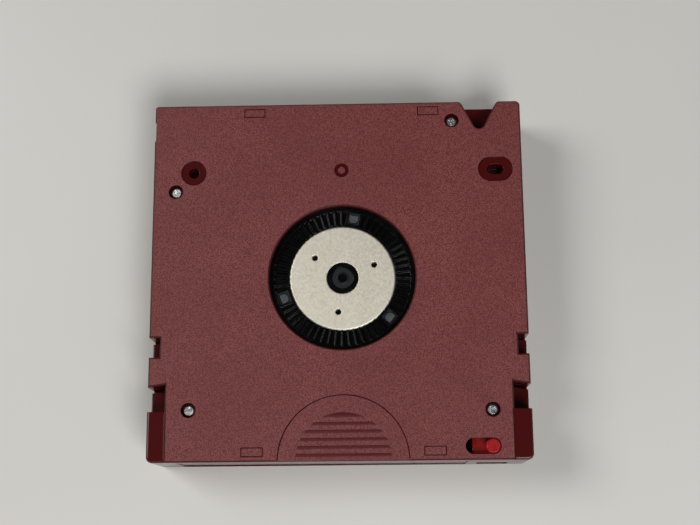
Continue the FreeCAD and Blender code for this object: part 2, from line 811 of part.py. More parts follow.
def add_rib(sketch, x, y, radius, low, high):
    """A band of a disc about (x, y) between the heights low and high above its centre."""
    centre, normal = Vector(x, y, 0), Vector(0, 0, 1)
    start, end = math.asin(low / radius), math.asin(min(high / radius, 1.0))
    wide, narrow = radius * math.cos(start), radius * math.cos(end)
    circle = Part.Circle(centre, normal, radius)
    a = sketch.GeometryCount
    chord = Part.LineSegment(Vector(x - wide, y + low, 0), Vector(x + wide, y + low, 0))
    if narrow < 1e-3:
        sketch.addGeometry([chord, Part.ArcOfCircle(circle, start, math.pi - start)], False)
        sketch.addConstraint([Sketcher.Constraint("Coincident", a, 2, a + 1, 1),
                              Sketcher.Constraint("Coincident", a + 1, 2, a, 1)])
        return
    crest = Part.LineSegment(Vector(x + narrow, y + high, 0), Vector(x - narrow, y + high, 0))
    sketch.addGeometry([chord, Part.ArcOfCircle(circle, start, end), crest,
                        Part.ArcOfCircle(circle, math.pi - end, math.pi - start)], False)
    sketch.addConstraint([Sketcher.Constraint("Coincident", a, 2, a + 1, 1),
                          Sketcher.Constraint("Coincident", a + 1, 2, a + 2, 1),
                          Sketcher.Constraint("Coincident", a + 2, 2, a + 3, 1),
                          Sketcher.Constraint("Coincident", a + 3, 2, a, 1)])


def thumb_ribs(s, sketch):
    """Cross ribs inside the thumb grip, cut off by a circle about its centre; the last is a cap."""
    radius, width = float(s.thumb_inner_radius), float(s.thumb_rib_width)
    for row in range(THUMB_RIBS):
        low = float(s.thumb_rib_start) + row * float(s.thumb_rib_pitch)
        last = row == THUMB_RIBS - 1
        add_rib(sketch, float(s.reel_offset), float(s.rear), radius, low,
                radius if last else low + width)


def lower_face_marks(body, s):
    """Thumb grip, gate dimple and four rectangles outlined by grooves on the window face."""
    sketch = new_sketch(body, "thumb_outline", s.top)
    x, rear, radius = float(s.reel_offset), float(s.rear), float(s.thumb_radius)
    arc = Part.ArcOfCircle(Part.Circle(Vector(x, rear, 0), Vector(0, 0, 1), radius), 0, math.pi)
    below = rear - 1
    sketch.addGeometry([arc,
                        Part.LineSegment(Vector(x - radius, rear, 0), Vector(x - radius, below, 0)),
                        Part.LineSegment(Vector(x - radius, below, 0), Vector(x + radius, below, 0)),
                        Part.LineSegment(Vector(x + radius, below, 0), Vector(x + radius, rear, 0))],
                       False)
    sketch.addConstraint([Sketcher.Constraint("Coincident", 0, 2, 1, 1),
                          Sketcher.Constraint("Coincident", 1, 2, 2, 1),
                          Sketcher.Constraint("Coincident", 2, 2, 3, 1),
                          Sketcher.Constraint("Coincident", 3, 2, 0, 1)])
    constrain(sketch, "Radius", 0, s.thumb_radius)
    pin_point(sketch, 0, 3, s.reel_offset, s.rear)
    add_pocket(body, "thumb_recess", sketch, s.thumb_depth)

    sketch = new_sketch(body, "thumb_rib_outlines", s.top - s.thumb_depth)
    thumb_ribs(s, sketch)
    add_pad(body, "thumb_rib_pad", sketch, s.thumb_depth)

    sketch = new_sketch(body, "thumb_line", s.top)
    add_sector(sketch, s.reel_offset, s.rear, s.thumb_radius - s.line_width, s.thumb_radius,
               THUMB_LINE_START, 180 - THUMB_LINE_START)
    add_pocket(body, "thumb_line_cut", sketch, s.thumb_depth + s.line_depth)

    sketch = new_sketch(body, "mark_outlines", s.top)
    half, wide = s.mark_length / 2, s.line_width
    for side in MARK_SIDES:
        middle = s.reel_offset + s.mark_spread * side
        for edge, inward in ((s.front, -1), (s.rear, 1)):
            near = edge + s.mark_edge_gap * inward
            far = near + s.mark_width * inward
            add_rectangle(sketch, middle - half, middle + half, near, far)
            add_rectangle(sketch, middle - half + wide, middle + half - wide,
                          near + wide * inward, far - wide * inward)
    add_pocket(body, "mark_cut", sketch, s.line_depth)

    sketch = new_sketch(body, "gate_outline", s.top)
    add_circle(sketch, s.reel_offset, s.front - s.gate_from_front, s.gate_radius)
    add_circle(sketch, s.reel_offset, s.front - s.gate_from_front, s.gate_dome_radius)
    add_pocket(body, "gate_cut", sketch, s.gate_depth)


def door_side_cuts(body, s, low, high, groove):
    """The door's opening, its thinned wall and its groove, in the half between low and high."""
    cavity = s.track_end
    sketch = new_sketch(body, "track_outline", low)
    add_rectangle(sketch, -s.track_outer, -s.track_inner, cavity, s.opening_front)
    add_pocket(body, "track_cut", sketch, Size.of(groove) - low, reverse=True)
    sketch = new_sketch(body, "opening_outline", low)
    add_rectangle(sketch, -(s.side + 1), -s.track_inner, s.opening_rear, s.opening_front)
    add_pocket(body, "opening_cut", sketch, Size.of(high) - low, reverse=True)
    if body.Label == "lower_case":
        sketch = new_sketch(body, "edge_relief", s.top)
        front = s.front - s.edge_relief_from_front
        add_rectangle(sketch, -(s.side + 1), -(s.side - s.edge_relief_depth),
                      front - s.edge_relief_length, front)
        add_pocket(body, "edge_relief_cut", sketch, s.floor_skin)


def label_recess(body, s, low, high):
    """The shallow recess for a label across the rear face."""
    sketch = new_sketch(body, "label_outline", low)
    add_rectangle(sketch, -s.label_left, s.label_right, s.rear - 1, s.rear + s.label_depth)
    add_pocket(body, "label_cut", sketch, Size.of(high) - low, reverse=True)


def build_upper_case(doc, s):
    """The half with the plain cover: walls, ledges under the notches, bosses and the brake post."""
    body = new_body(doc, "upper_case")
    sketch = new_sketch(body, "upper_outline")
    add_polygon(sketch, outer_corners(s, notched=False))
    add_pad(body, "upper_block", sketch, s.split_height)
    for name, places, radius in (
            ("upper_front_left", [(-s.side, s.front)], s.front_left_radius),
            ("upper_front_right", [(s.side, s.front)], s.front_right_radius),
            ("upper_rear", [(-s.wing_side, s.rear), (s.wing_side, s.rear)], s.rear_radius)):
        add_edge_feature(body, "Fillet", name, upright_at(*places), radius)
    add_edge_feature(body, "Chamfer", "cover_bevel",
                     lambda edge: edge.BoundBox.ZMax < 1e-3, s.rim_bevel)
    add_edge_feature(body, "Chamfer", "upper_parting_bevel", level_edges(s.split_height),
                     s.parting_bevel)

    sketch = new_sketch(body, "upper_cavity_outline", s.split_height)
    add_polygon(sketch, inner_corners(s))
    add_pocket(body, "upper_cavity", sketch, s.split_height - s.cover_skin)

    upper_inner_features(body, s)
    upper_ledge_slots(body, s)
    door_side_cuts(body, s, s.cover_skin, s.split_height, s.split_height)
    sketch = new_sketch(body, "cover_groove_outline", s.cover_skin)
    add_rectangle(sketch, -s.track_outer, -s.track_inner, s.track_end, s.opening_front)
    add_pocket(body, "cover_groove_cut", sketch, s.cover_groove)
    label_recess(body, s, s.label_low, s.split_height)

    sketch = new_sketch(body, "tab_window_outline", s.tab_window_low)
    add_rectangle(sketch, s.tab_window_left, s.tab_window_right, s.rear - 1, s.rear + s.wall + 0.05)
    add_pocket(body, "tab_window_cut", sketch, s.tab_window_high - s.tab_window_low, reverse=True)
    return body


def upper_inner_features(body, s):
    """Screw bosses with pilot holes, partitions, the cross post, spring seats and cradle ribs."""
    rise = s.split_height - s.cover_skin
    sketch = new_sketch(body, "upper_posts", s.cover_skin - 0.1)
    for x, y in s.screws:
        add_circle(sketch, x, y, s.boss_radius)
    add_pad(body, "upper_posts_pad", sketch, rise + 0.1)

    sketch = new_sketch(body, "upper_partitions", s.cover_skin - 0.1)
    partition_arcs(s, sketch)
    add_pad(body, "upper_partition_pad", sketch, rise + 0.1)

    half, thin = s.cross_length / 2, s.cross_thickness / 2
    sketch = new_sketch(body, "cross_outline", s.cover_skin - 0.1)
    x = s.reel_offset
    add_polygon(sketch, [(x - half, -thin), (x - thin, -thin), (x - thin, -half), (x + thin, -half),
                         (x + thin, -thin), (x + half, -thin), (x + half, thin), (x + thin, thin),
                         (x + thin, half), (x - thin, half), (x - thin, thin), (x - half, thin)])
    add_pad(body, "cross_post", sketch, s.cross_height + 0.1)

    sketch = new_sketch(body, "spring_seat_outline", s.cover_skin - 0.1)
    add_circle(sketch, x, 0, s.spring_seat_radius)
    add_circle(sketch, x, 0, s.spring_seat_radius + 0.9)
    pin_seat(s, sketch)
    add_pad(body, "spring_seat_pad", sketch, s.pin_seat_height + 0.4)

    sketch = new_sketch(body, "spring_stop_outline", s.cover_skin - 0.1)
    add_rectangle(sketch, -(s.side - s.wall + 0.1), s.door_spring_x + s.door_spring_radius + 0.5,
                  s.spring_stop - s.spring_stop_thickness, s.spring_stop)
    add_pad(body, "spring_stop_pad", sketch, s.door_spring_z + 2.5 - s.cover_skin)
    sketch = new_sketch(body, "spring_stop_peg_outline", -s.spring_stop, "XZ_Plane")
    add_circle(sketch, s.door_spring_x, s.door_spring_z, s.spring_peg_radius)
    add_pad(body, "spring_stop_peg", sketch, s.spring_peg_length, reverse=True)

    for index, x in enumerate((s.memory_x + 2, s.memory_x + s.memory_width - 3)):
        sketch = new_sketch(body, f"cradle_{index}", x, "YZ_Plane")
        base = s.rear + s.wall - 0.1
        end = s.memory_y + s.memory_height * math.sqrt(0.5)
        add_polygon(sketch, [(base, s.cover_skin - 0.1), (end, s.cover_skin - 0.1),
                             (end, s.memory_low + (end - s.memory_y)),
                             (s.memory_y, s.memory_low), (base, s.memory_low)])
        add_pad(body, f"cradle_pad_{index}", sketch, s.cradle_rib)

    sketch = new_sketch(body, "pilot_outlines", s.split_height)
    for x, y in s.screws:
        add_circle(sketch, x, y, s.screw_shank_radius + s.screw_pilot_gap)
    seat = s.top - s.screw_head_sink - s.screw_head_height
    add_pocket(body, "pilot_cut", sketch, s.screw_length - (seat - s.split_height) + 0.5)


def upper_ledge_slots(body, s):
    """Narrow slots in front of the four side ledges."""
    sketch = new_sketch(body, "ledge_slots", s.split_height)
    for side in (-1, 1):
        outer = (s.side + 1) * side
        add_rectangle(sketch, s.notch_inner * side, outer,
                      s.notch_front - s.ledge_slot_width, s.notch_front)
        inner, level = s.grip_inner * side, s.grip_front + s.grip_slant
        lean = s.grip_slant * (s.grip_depth + 1) / s.grip_depth
        add_polygon(sketch, [(inner, level), (outer, level - lean),
                             (outer, level - lean - s.ledge_slot_width),
                             (inner, level - s.ledge_slot_width)])
    add_pocket(body, "ledge_slot_cut", sketch, s.ledge_slot_depth)


def build_case_screws(doc, s):
    """Four self-tapping screws with low domed heads and cross recesses."""
    head, shank = float(s.screw_head_radius), float(s.screw_shank_radius)
    high, length = float(s.screw_head_height), float(s.screw_length)
    seat = float(s.top - s.screw_head_sink - s.screw_head_height)
    profile = Part.makePolygon([Vector(0, 0, -length), Vector(shank, 0, -length),
                                Vector(shank, 0, 0), Vector(head, 0, 0),
                                Vector(head, 0, high * 0.45), Vector(head * 0.7, 0, high),
                                Vector(0, 0, high), Vector(0, 0, -length)])
    screw = Part.Face(profile).revolve(Vector(0, 0, 0), Vector(0, 0, 1), 360)
    arm, thin, deep = head * 0.55, head * 0.11, high * 0.75
    for angle in (20, 110):
        bar = Part.makeBox(2 * arm, 2 * thin, deep + 0.1, Vector(-arm, -thin, high - deep))
        bar.rotate(Vector(0, 0, 0), Vector(0, 0, 1), angle)
        screw = screw.cut(bar)
    solids = []
    for index, (x, y) in enumerate(s.screws):
        copy = screw.copy()
        copy.rotate(Vector(0, 0, 0), Vector(0, 0, 1), 35 * index)
        copy.translate(Vector(float(x), float(y), seat))
        solids.append(copy)
    screws = doc.addObject("Part::Feature", "case_screws")
    screws.Label = "case_screws"
    screws.Shape = Part.makeCompound(solids)
    return screws


# ---------------------------------------------------------------- door

def build_door(doc, s):
    """The sliding tape door: a panel with edge tongues, a lug for the drive and a spring block."""
    body = new_body(doc, "door")
    low = s.cover_skin - s.cover_groove + s.door_edge_gap
    high = s.floor + s.floor_groove - s.door_edge_gap
    sketch = new_sketch(body, "door_panel_outline", low)
    add_rectangle(sketch, -s.door_outer, -s.door_inner, s.door_rear, s.door_front)
    add_pad(body, "door_panel", sketch, high - low)

    sketch = new_sketch(body, "lug_outline", s.lug_low)
    add_rectangle(sketch, -(s.door_outer + s.lug_depth), -s.door_outer + 0.1,
                  s.door_front - s.lug_width, s.door_front)
    add_pad(body, "lug_pad", sketch, s.lug_high - s.lug_low)

    sketch = new_sketch(body, "block_outline", s.door_spring_z - s.spring_block_height / 2)
    add_rectangle(sketch, -s.door_inner - 0.1, s.door_spring_x + s.door_spring_radius + 0.1,
                  s.door_rear, s.door_rear + s.spring_block)
    add_pad(body, "block_pad", sketch, s.spring_block_height)

    sketch = new_sketch(body, "door_peg_outline", -s.door_rear, "XZ_Plane")
    add_circle(sketch, s.door_spring_x, s.door_spring_z, s.spring_peg_radius)
    add_pad(body, "door_peg", sketch, s.spring_peg_length)
    return body


def coil(length, radius, wire, turns, steps):
    """A coil of square wire along +Z, as straight runs that follow a helix."""
    count = int(turns) * steps
    turn = 2 * math.pi / steps
    points = [Vector(radius * math.cos(turn * i), radius * math.sin(turn * i), length * i / count)
              for i in range(count + 1)]
    path = Part.makePolygon(points)
    along = (points[1] - points[0]).normalize()
    out = (Vector(1, 0, 0) - along * along.x).normalize()
    up = along.cross(out)
    half = wire / 2
    section = [points[0] + out * a * half + up * b * half
               for a, b in ((-1, -1), (1, -1), (1, 1), (-1, 1), (-1, -1))]
    return path.makePipeShell([Part.makePolygon(section)], True, False, 1)


def add_spring(doc, name, shape, placement):
    spring = doc.addObject("Part::Feature", name)
    spring.Label = name
    spring.Shape = shape
    spring.Placement = placement
    return spring


def build_door_spring(doc, s):
    """The compression spring that closes the door, between the case's stop and the door's block."""
    end = float(s.door_spring_wire) / 2 + float(s.spring_end_gap)
    shape = coil(float(s.door_spring_length) - 2 * end, float(s.door_spring_radius),
                 float(s.door_spring_wire), float(s.door_spring_turns), 10)
    base = Vector(float(s.door_spring_x), float(s.spring_stop) + end, float(s.door_spring_z))
    return add_spring(doc, "door_spring", shape, Placement(base, Rotation(Vector(1, 0, 0), -90)))


# ---------------------------------------------------------------- leader pin

def build_leader_pin(doc, s):
    """The turned steel pin at the tape's free end, with a neck and a flange at each end."""
    body = new_body(doc, "leader_pin")
    sketch = new_sketch(body, "pin_profile", plane="XZ_Plane")
    flange, neck, core = s.pin_flange_radius, s.pin_neck_radius, s.pin_core_radius
    a, b, top = s.pin_flange, s.pin_flange + s.pin_neck, s.pin_length
    add_polygon(sketch, [(0, 0), (flange - 0.3, 0), (flange, 0.3), (flange, a), (neck, a), (neck, b),
                         (core, b), (core, top - b), (neck, top - b), (neck, top - a),
                         (flange, top - a), (flange, top - 0.3), (flange - 0.3, top), (0, top)])
    add_revolution(body, "pin_turning", sketch)
    place(body, s.pin_x, s.pin_y, s.pin_low)
    return body


def tape_wrap(s):
    """Where the free tape leaves the pack and reaches the pin: the common outer tangent."""
    pin = Vector(float(s.pin_x), float(s.pin_y), 0)
    reel = Vector(float(s.reel_offset), 0, 0)
    gap, thickness = 0.05, 0.1
    pack = float(s.pack_radius) + gap
    wrap = float(s.pin_core_radius) + gap
    across = reel - pin
    tilt = math.acos((wrap - pack) / across.Length)
    normal_angle = math.atan2(across.y, across.x) + tilt
    normal = Vector(math.cos(normal_angle), math.sin(normal_angle), 0)
    return SimpleNamespace(pin=pin, reel=reel, pack=pack, wrap=wrap, thickness=thickness,
                           angle=normal_angle, normal=normal)


def build_tape_lead(doc, s):
    """The free length of tape from the pack to the pin, folded round the pin under its clip."""
    t = tape_wrap(s)
    body = new_body(doc, "tape_lead")
    sketch = new_sketch(body, "lead_outline", s.tape_low)
    inner, outer, last = t.wrap, t.wrap + t.thickness, t.angle + math.radians(190)
    axis = Vector(0, 0, 1)

    def rim(radius, angle):
        return t.pin + Vector(radius * math.cos(angle), radius * math.sin(angle), 0)
    near, far = t.reel + t.normal * t.pack, t.reel + t.normal * (t.pack + t.thickness)
    sketch.addGeometry([Part.LineSegment(near, t.pin + t.normal * inner),
                        Part.ArcOfCircle(Part.Circle(t.pin, axis, inner), t.angle, last),
                        Part.LineSegment(rim(inner, last), rim(outer, last)),
                        Part.ArcOfCircle(Part.Circle(t.pin, axis, outer), t.angle, last),
                        Part.LineSegment(t.pin + t.normal * outer, far),
                        Part.LineSegment(far, near)], False)
    sketch.addConstraint([Sketcher.Constraint("Coincident", 0, 2, 1, 1),
                          Sketcher.Constraint("Coincident", 1, 2, 2, 1),
                          Sketcher.Constraint("Coincident", 2, 2, 3, 2),
                          Sketcher.Constraint("Coincident", 3, 1, 4, 1),
                          Sketcher.Constraint("Coincident", 4, 2, 5, 1),
                          Sketcher.Constraint("Coincident", 5, 2, 0, 1)])
    add_pad(body, "lead_strip", sketch, s.tape_width)
    return body


def build_tape_clip(doc, s):
    """The split sleeve that snaps over the pin and holds the end of the tape."""
    t = tape_wrap(s)
    body = new_body(doc, "tape_clip")
    middle = (s.tape_low + s.tape_high) / 2
    sketch = new_sketch(body, "clip_outline", middle - s.clip_length / 2)
    start = math.degrees(t.angle) + 8
    add_sector(sketch, s.pin_x, s.pin_y, t.wrap + t.thickness + 0.05, s.clip_radius,
               start, start + 280)
    add_pad(body, "clip_sleeve", sketch, s.clip_length)
    return body


def build_pin_spring(doc, s):
    """The leaf spring on the front wall whose two arms press the leader pin into its seats."""
    body = new_body(doc, "pin_spring")
    low, high = s.pin_low, s.pin_high
    back = s.front - s.wall - 0.05
    thick = s.leaf_thickness
    touch = s.pin_y + s.pin_flange_radius + 0.05
    bend = s.pin_x + 3.4
    sketch = new_sketch(body, "leaf_outline", low)
    add_polygon(sketch, [(bend + 4.2, back), (bend - 0.1, back), (s.pin_x + 0.6, touch + thick),
                         (s.pin_x - 1.4, touch + thick), (s.pin_x - 1.4, touch),
                         (s.pin_x + 0.75, touch), (bend + 0.05, back - thick),
                         (bend + 4.2, back - thick)])
    add_pad(body, "leaf", sketch, high - low)
    sketch = new_sketch(body, "leaf_gap_outline", low + s.leaf_arm_height)
    add_rectangle(sketch, s.pin_x - 2, bend + 0.2, touch - 1, back + 1)
    add_pocket(body, "leaf_gap", sketch, high - low - 2 * s.leaf_arm_height, reverse=True)
    return body


# ---------------------------------------------------------------- reel

def build_reel_hub(doc, s):
    """Hub, lower flange and driving ring as one moulding."""
    body = new_body(doc, "reel_hub")
    sketch = new_sketch(body, "hub_profile", plane="XZ_Plane")
    low = s.disc_top - s.spigot_height
    boss = s.plate_top + 0.1
    add_polygon(sketch, [
        (0, s.hub_inner), (s.hub_bore, s.hub_inner), (s.hub_bore, low), (s.spigot_radius, low),
        (s.spigot_radius, s.disc_top), (s.hub_radius, s.disc_top), (s.hub_radius, s.flange_low),
        (s.flange_radius, s.flange_low), (s.flange_radius, s.flange_top),
        (s.ring_radius, s.flange_top), (s.ring_radius, s.valley + s.ring_rim_height),
        (s.tooth_outer_radius, s.valley + s.ring_rim_height), (s.tooth_outer_radius, s.valley),
        (s.plate_radius + s.plate_fit, s.valley), (s.plate_radius + s.plate_fit, s.plate_low),
        (s.centre_boss_radius, s.plate_low), (s.centre_boss_radius, boss),
        (s.centre_boss_radius * 0.7, boss), (s.centre_boss_radius * 0.65, boss - 0.5),
        (s.centre_boss_radius * 0.4, boss - 0.5), (s.centre_boss_radius * 0.33, boss - 0.2),
        (0, boss - 0.2)])
    add_revolution(body, "hub_turning", sketch)

    pads_and_leg_holes(body, s)

    sketch = new_sketch(body, "tooth_outline", s.tooth_inner_radius, "YZ_Plane")
    base, tip = s.tooth_base / 2, s.tooth_tip / 2
    root_level = s.valley - 0.1
    add_polygon(sketch, [(-base, root_level), (base, root_level), (base, s.valley),
                         (tip, s.tooth_top), (-tip, s.tooth_top), (-base, s.valley)])
    tooth = add_pad(body, "tooth", sketch, s.tooth_outer_radius - s.tooth_inner_radius + 0.05)
    add_polar(body, "driving_teeth", [tooth], s.tooth_count)

    clear_pads(body, s)

    sketch = new_sketch(body, "hub_brake_tooth_outline", s.brake_inner_radius, "YZ_Plane")
    turn_sketch(sketch, Size.of(180) / s.brake_teeth, s.brake_inner_radius)
    base, tip = s.brake_tooth_base / 2, s.brake_tooth_tip / 2
    end = s.hub_inner - s.brake_tooth_height
    add_polygon(sketch, [(-base, s.hub_inner + 0.1), (base, s.hub_inner + 0.1), (base, s.hub_inner),
                         (tip, end), (-tip, end), (-base, s.hub_inner)])
    tooth = add_pad(body, "hub_brake_tooth", sketch, s.brake_outer_radius - s.brake_inner_radius)
    add_polar(body, "hub_brake_teeth", [tooth], s.brake_teeth)
    place(body, s.reel_offset)
    return body


def pad_spots(s):
    """Angle, in degrees, of each of the three pads."""
    return [float(s.pad_angle) + 360 / LEG_COUNT * i for i in range(LEG_COUNT)]


def turned_corners(points, angle):
    """Plain (x, y) points turned about the origin by an angle in degrees."""
    c, n = math.cos(math.radians(angle)), math.sin(math.radians(angle))
    return [(x * c - y * n, x * n + y * c) for x, y in points]


def pad_square(s, half):
    middle = float(s.pad_circle)
    return [(middle - half, -half), (middle + half, -half), (middle + half, half), (middle - half, half)]


def pads_and_leg_holes(body, s):
    """Three square pads in the driving ring."""
    sketch = new_sketch(body, "pad_outlines", s.valley - 0.1)
    for angle in pad_spots(s):
        add_polygon(sketch, turned_corners(pad_square(s, float(s.pad_size) / 2), angle))
    add_pad(body, "pads", sketch, s.tooth_height + 0.1)


def leg_corners(s, gap):
    """A leg's D-shaped section at angle zero, grown by gap on each side; round side inwards."""
    middle = float(s.pad_circle)
    deep, wide = float(s.leg_depth) / 2 + gap, float(s.leg_width) / 2 + gap
    return [(middle + deep, -wide), (middle + deep, wide), (middle - deep * 0.35, wide),
            (middle - deep, wide * 0.5), (middle - deep, -wide * 0.5), (middle - deep * 0.35, -wide)]


def clear_pads(body, s):
    """Sinks each pad's middle and opens the hole for its release leg through the hub floor."""
    sketch = new_sketch(body, "pad_sink_outlines", s.tooth_top)
    for angle in pad_spots(s):
        add_polygon(sketch, turned_corners(pad_square(s, float(s.pad_size) / 2 - 0.45), angle))
    add_pocket(body, "pad_sink", sketch, s.tooth_height * 0.45)
    sketch = new_sketch(body, "leg_hole_outlines", s.tooth_top)
    for angle in pad_spots(s):
        add_polygon(sketch, turned_corners(leg_corners(s, float(s.leg_gap)), angle))
    add_pocket(body, "leg_holes", sketch, s.tooth_top - s.hub_inner + 0.1)


def build_upper_flange(doc, s):
    """The loose flange, seated on the hub's spigot."""
    body = new_body(doc, "upper_flange")
    sketch = new_sketch(body, "disc_outline", s.disc_low)
    add_circle(sketch, 0, 0, s.flange_radius)
    add_circle(sketch, 0, 0, s.spigot_radius + s.screw_pilot_gap)
    add_pad(body, "disc", sketch, s.flange_thickness)
    place(body, s.reel_offset)
    return body


def build_reel_plate(doc, s):
    """The steel plate that the drive's magnet holds, with three small holes."""
    body = new_body(doc, "reel_plate")
    sketch = new_sketch(body, "plate_outline", s.plate_low)
    add_circle(sketch, 0, 0, s.plate_radius)
    add_circle(sketch, 0, 0, s.centre_boss_radius + s.plate_fit)
    add_pad(body, "plate", sketch, s.plate_thickness)
    level, radius = float(s.plate_top), float(s.plate_radius)
    add_edge_feature(body, "Chamfer", "plate_rim", lambda edge: abs(edge.BoundBox.ZMin - level) < 1e-3
                     and abs(edge.BoundBox.XLength - 2 * radius) < 0.01, s.plate_rim_bevel)
    sketch = new_sketch(body, "plate_hole_outline", s.plate_top)
    angle = math.radians(float(s.plate_hole_angle))
    add_circle(sketch, s.plate_hole_circle * math.cos(angle), s.plate_hole_circle * math.sin(angle),
               s.plate_hole_radius)
    hole = add_pocket(body, "plate_hole", sketch, s.plate_thickness + 0.1)
    add_polar(body, "plate_holes", [hole], LEG_COUNT)
    place(body, s.reel_offset)
    return body


def build_tape_pack(doc, s):
    """The wound tape, as one solid roll."""
    body = new_body(doc, "tape_pack")
    sketch = new_sketch(body, "pack_outline", s.tape_low)
    add_circle(sketch, 0, 0, s.pack_radius)
    add_circle(sketch, 0, 0, s.hub_radius + s.plate_fit)
    add_pad(body, "pack", sketch, s.tape_width)
    place(body, s.reel_offset)
    return body


# ---------------------------------------------------------------- brake

def build_brake_button(doc, s):
    """The toothed brake disc with its cross-shaped socket, kept from turning by the case's post."""
    body = new_body(doc, "brake_button")
    sketch = new_sketch(body, "brake_profile", plane="XZ_Plane")
    socket_low = s.brake_low - s.socket_length
    add_polygon(sketch, [(0, socket_low), (s.socket_radius, socket_low),
                         (s.socket_radius, s.brake_low), (s.brake_disc_radius, s.brake_low),
                         (s.brake_disc_radius, s.brake_top), (0, s.brake_top)])
    add_revolution(body, "brake_turning", sketch)

    half = s.cross_length / 2 + s.cross_gap
    thin = s.cross_thickness / 2 + s.cross_gap
    sketch = new_sketch(body, "socket_cross", socket_low)
    add_polygon(sketch, [(-half, -thin), (-thin, -thin), (-thin, -half), (thin, -half),
                         (thin, -thin), (half, -thin), (half, thin), (thin, thin),
                         (thin, half), (-thin, half), (-thin, thin), (-half, thin)])
    depth = s.cross_top + s.brake_travel + 0.4 - socket_low
    add_pocket(body, "socket_cut", sketch, depth, reverse=True)

    sketch = new_sketch(body, "brake_tooth_outline", s.brake_inner_radius, "YZ_Plane")
    base, tip = s.brake_tooth_base / 2, s.brake_tooth_tip / 2
    end = s.brake_top + s.brake_tooth_height
    add_polygon(sketch, [(-base, s.brake_top - 0.1), (base, s.brake_top - 0.1), (base, s.brake_top),
                         (tip, end), (-tip, end), (-base, s.brake_top)])
    tooth = add_pad(body, "brake_tooth", sketch, s.brake_outer_radius - s.brake_inner_radius)
    add_polar(body, "brake_teeth", [tooth], s.brake_teeth)
    place(body, s.reel_offset)
    return body


def build_release_plate(doc, s):
    """The three-legged ring between brake and hub floor; the drive pushes its legs to free the reel."""
    body = new_body(doc, "release_plate")
    sketch = new_sketch(body, "release_ring_outline", s.release_low)
    add_circle(sketch, 0, 0, s.release_outer_radius)
    add_circle(sketch, 0, 0, s.release_inner_radius)
    add_pad(body, "release_ring", sketch, s.release_thickness)

    sketch = new_sketch(body, "release_arm_outlines", s.release_low)
    start = (float(s.release_inner_radius) + float(s.release_outer_radius)) / 2
    end = float(s.pad_circle) + float(s.leg_depth) / 2
    half = float(s.leg_width) / 2 + 0.3
    for angle in pad_spots(s):
        add_polygon(sketch, turned_corners([(start, -half), (end, -half), (end, half), (start, half)],
                                           angle))
    add_pad(body, "release_arms", sketch, s.release_thickness)

    sketch = new_sketch(body, "leg_outlines", s.release_low)
    for angle in pad_spots(s):
        add_polygon(sketch, turned_corners(leg_corners(s, 0.0), angle))
    add_pad(body, "release_legs", sketch, s.leg_top - s.release_low)
    place(body, s.reel_offset)
    return body


def build_brake_spring(doc, s):
    """The compression spring between the cover and the brake disc."""
    end = float(s.brake_spring_wire) / 2 + float(s.spring_end_gap)
    shape = coil(float(s.brake_low - s.cover_skin) - 2 * end, float(s.brake_spring_radius),
                 float(s.brake_spring_wire), float(s.brake_spring_turns), 16)
    base = Vector(float(s.reel_offset), 0, float(s.cover_skin) + end)
    return add_spring(doc, "brake_spring", shape, Placement(base, Rotation()))


# ---------------------------------------------------------------- write-protect tab

def build_write_protect_tab(doc, s):
    """The sliding tab: a plate under the slot with a round knob, and a foot behind the rear window."""
    body = new_body(doc, "write_protect_tab")
    sketch = new_sketch(body, "tab_plate_outline", s.tab_top - s.tab_plate)
    add_rectangle(sketch, s.tab_left, s.tab_right, s.tab_rear, s.tab_front)
    add_pad(body, "tab_plate_pad", sketch, s.tab_plate)

    sketch = new_sketch(body, "tab_wall_outline", s.tab_foot)
    add_rectangle(sketch, s.tab_left + 1, s.tab_right, s.tab_rear, s.tab_rear + s.tab_wall)
    add_pad(body, "tab_wall_pad", sketch, s.tab_top - s.tab_foot - 0.1)

    sketch = new_sketch(body, "tab_ridge_outline", s.tab_window_low + 0.5)
    add_rectangle(sketch, s.tab_ridge_left, s.tab_ridge_left + s.tab_ridge_width,
                  s.rear + 0.3, s.tab_rear + 0.1)
    add_pad(body, "tab_ridge_pad", sketch, s.tab_window_high - s.tab_window_low - 1)

    sketch = new_sketch(body, "knob_outline", s.tab_top - 0.1)
    add_circle(sketch, s.slot_right - s.knob_gap - s.knob_radius, s.slot_y, s.knob_radius)
    add_pad(body, "knob", sketch, s.top - s.knob_drop - s.tab_top + 0.1)
    level = float(s.top - s.knob_drop)
    add_edge_feature(body, "Chamfer", "knob_bevel",
                     lambda edge: abs(edge.BoundBox.ZMin - level) < 1e-3, s.knob_bevel)
    return body


# ---------------------------------------------------------------- cartridge memory

def build_memory(doc, s):
    """The memory board on its cradle at 45 degrees, and the chip on it."""
    turn = Rotation(Vector(1, 0, 0), 45)
    lift = Vector(0, -1, 1)
    lift.normalize()
    corner = Vector(float(s.memory_x), float(s.memory_y), float(s.memory_low)) + lift * 0.05
    board = doc.addObject("Part::Box", "memory_board")
    board.Label = "memory_board"
    board.setExpression("Length", s.memory_width.text)
    board.setExpression("Width", s.memory_height.text)
    board.setExpression("Height", s.memory_thickness.text)
    board.Placement = Placement(corner, turn)

    chip = doc.addObject("Part::Box", "memory_chip")
    chip.Label = "memory_chip"
    chip.setExpression("Length", s.memory_chip_size.text)
    chip.setExpression("Width", s.memory_chip_size.text)
    chip.setExpression("Height", s.memory_chip_height.text)
    offset = Vector(float(s.memory_width - s.memory_chip_size) / 2,
                    float(s.memory_height - s.memory_chip_size) / 2, float(s.memory_thickness))
    chip.Placement = Placement(corner + turn.multVec(offset), turn)
    return [board, chip]


# ---------------------------------------------------------------- build and export

